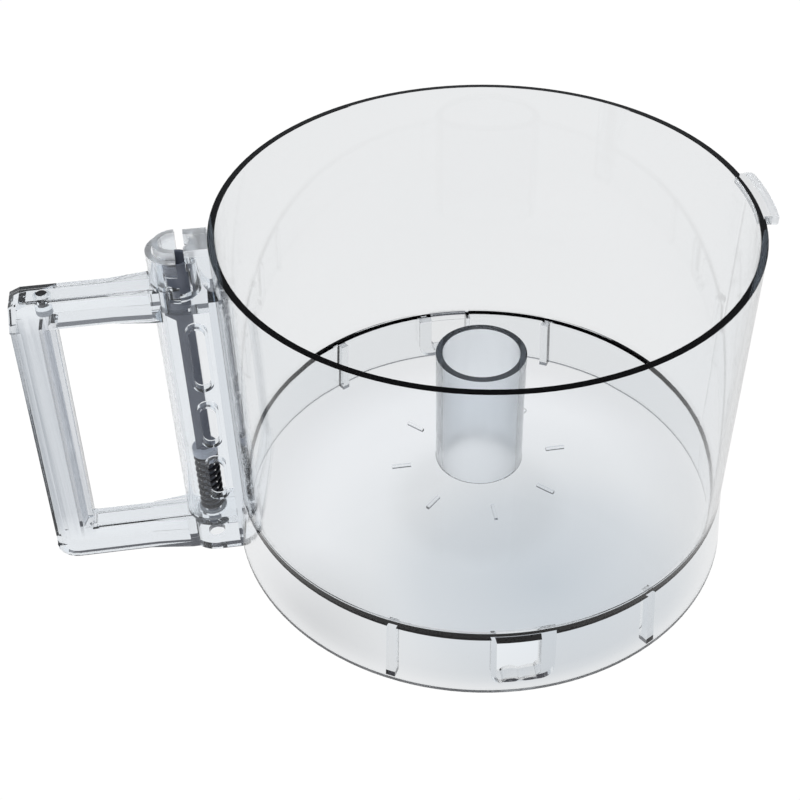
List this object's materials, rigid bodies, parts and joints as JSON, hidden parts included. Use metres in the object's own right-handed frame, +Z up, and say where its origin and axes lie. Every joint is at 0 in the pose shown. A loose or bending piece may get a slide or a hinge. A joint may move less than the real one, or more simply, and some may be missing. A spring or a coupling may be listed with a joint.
{
  "type": "food processor work bowl",
  "caption": "Clear food processor work bowl with centre drive tube, hollow D-handle and a spring-returned interlock push rod in the handle column.",
  "frame": {"origin": "on the bowl's axis, in the plane of the skirt's foot", "axes": "+Z up along the bowl's axis; the handle stands out along -X and the rim lug along +X"},
  "size_m": [0.324, 0.2342, 0.1682],
  "materials": {
    "clear_bowl": "glossy clear polycarbonate, very slightly blue-grey",
    "clear_handle": "glossy clear polycarbonate",
    "slate_plastic": "satin slate-grey acetal",
    "pale_plastic": "satin pale grey acetal",
    "spring_steel": "dark oil-tempered spring steel"
  },
  "bodies": {
    "bowl": {"work_bowl": "clear_bowl", "handle_frame": "clear_handle", "handle_cover": "clear_handle", "grip_plug": "slate_plastic", "spring_seat": "clear_handle", "return_spring": "spring_steel"},
    "interlock_rod": {"rod_head": "slate_plastic", "push_rod": "slate_plastic", "spring_washer": "pale_plastic"}
  },
  "joints": [
    {"name": "rod_slide", "type": "slide", "parent": "bowl", "child": "interlock_rod", "axis": [0, 0, -1], "range_m": [0, 0.008], "stiffness_N_per_m": 500, "springref_m": -0.012, "deforming": ["return_spring"]}
  ]
}
